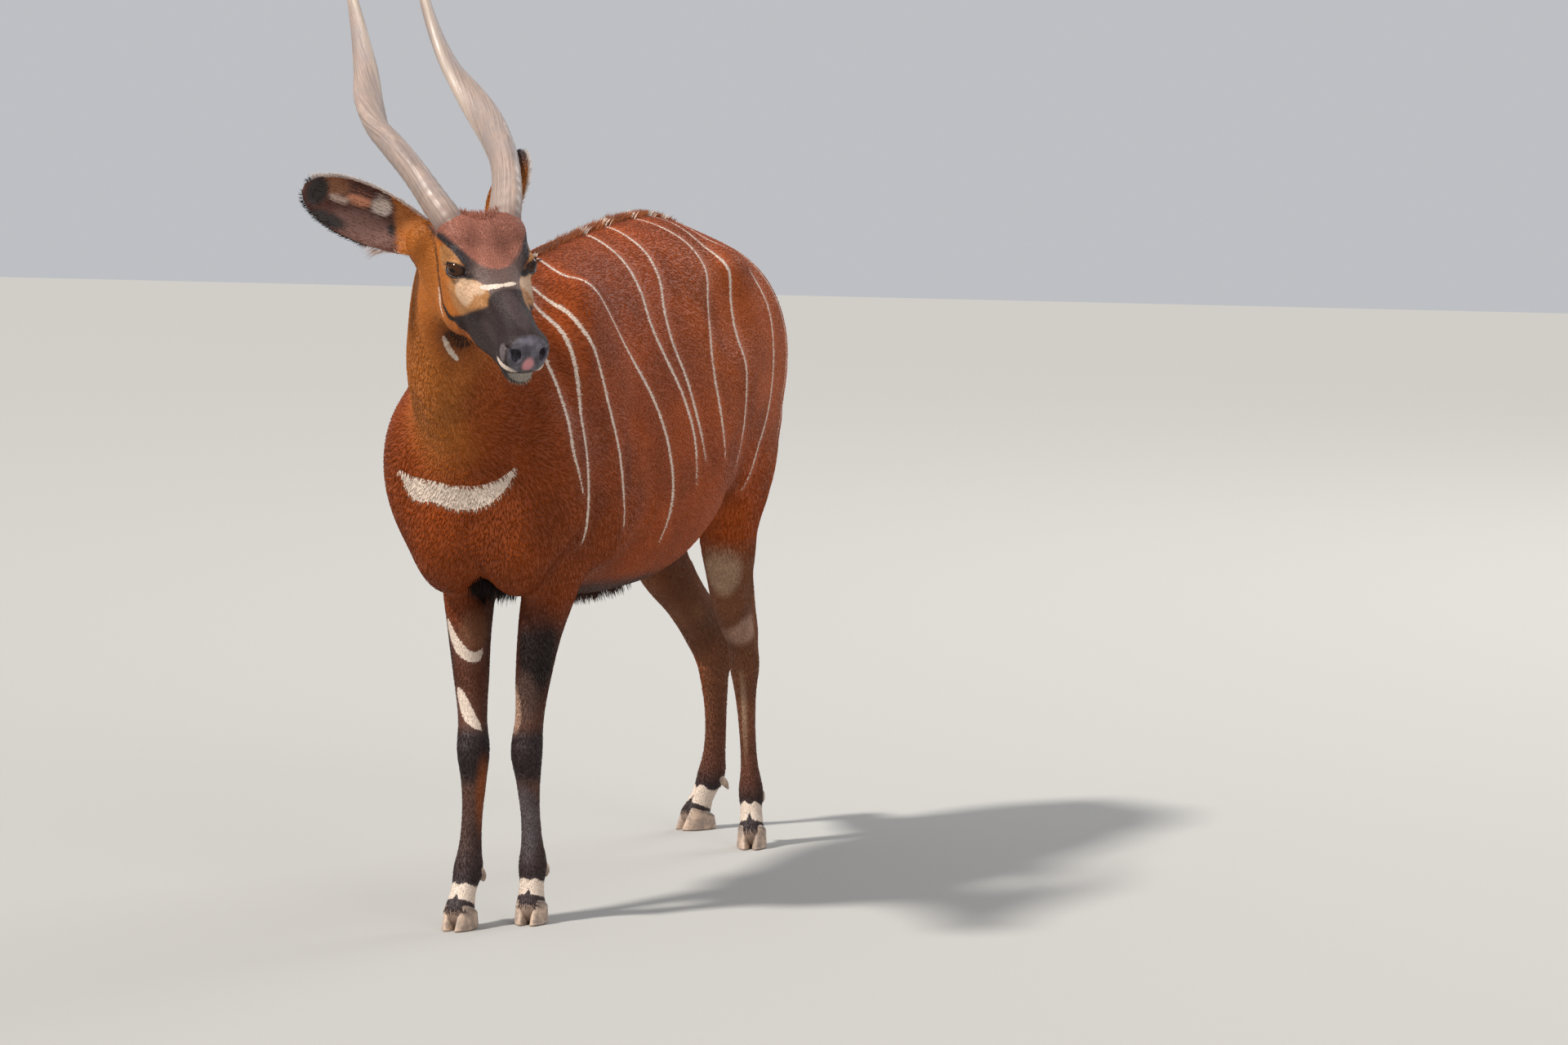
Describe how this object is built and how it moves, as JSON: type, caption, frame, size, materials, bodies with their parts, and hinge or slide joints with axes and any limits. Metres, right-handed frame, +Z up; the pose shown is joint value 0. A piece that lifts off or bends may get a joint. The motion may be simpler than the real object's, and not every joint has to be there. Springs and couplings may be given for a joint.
{
  "type": "bongo antelope",
  "caption": "Life-size bongo antelope bull standing with its head turned to its left, chestnut coat with thin white stripes, lyre horns and broad ears, a still museum model",
  "frame": {"origin": "middle of the box's base, on the floor under the animal, about midway between the fore and hind feet", "axes": "the animal faces -Y, its left side is at +X, +Z is up; the head is turned to its left, toward +X"},
  "size_m": [0.6266, 1.9122, 1.8485],
  "materials": {
    "hide": "short glossy hair, bright chestnut, with thin white stripes, a white crescent on the chest and dark legs",
    "hair": "long coarse hair, dark brown with white tufts",
    "horn": "smooth ridged horn, smoky grey-brown, lighter at the base and tips",
    "eye": "wet dark brown eye, clear and glossy, opaque",
    "hoof": "dull worn hoof, grey beige"
  },
  "bodies": {
    "root": {"head": "hide", "neck": "hide", "torso": "hide", "foreleg_left": "hide", "foreleg_right": "hide", "hindleg_left": "hide", "hindleg_right": "hide", "tail": "hide", "ear_left": "hide", "ear_right": "hide", "crest": "hair", "tail_tuft": "hair", "horn_left": "horn", "horn_right": "horn", "eye_left": "eye", "eye_right": "eye", "claw_front_left_left": "hoof", "claw_front_left_right": "hoof", "claw_front_right_left": "hoof", "claw_front_right_right": "hoof", "claw_hind_left_left": "hoof", "claw_hind_left_right": "hoof", "claw_hind_right_left": "hoof", "claw_hind_right_right": "hoof"}
  },
  "joints": []
}
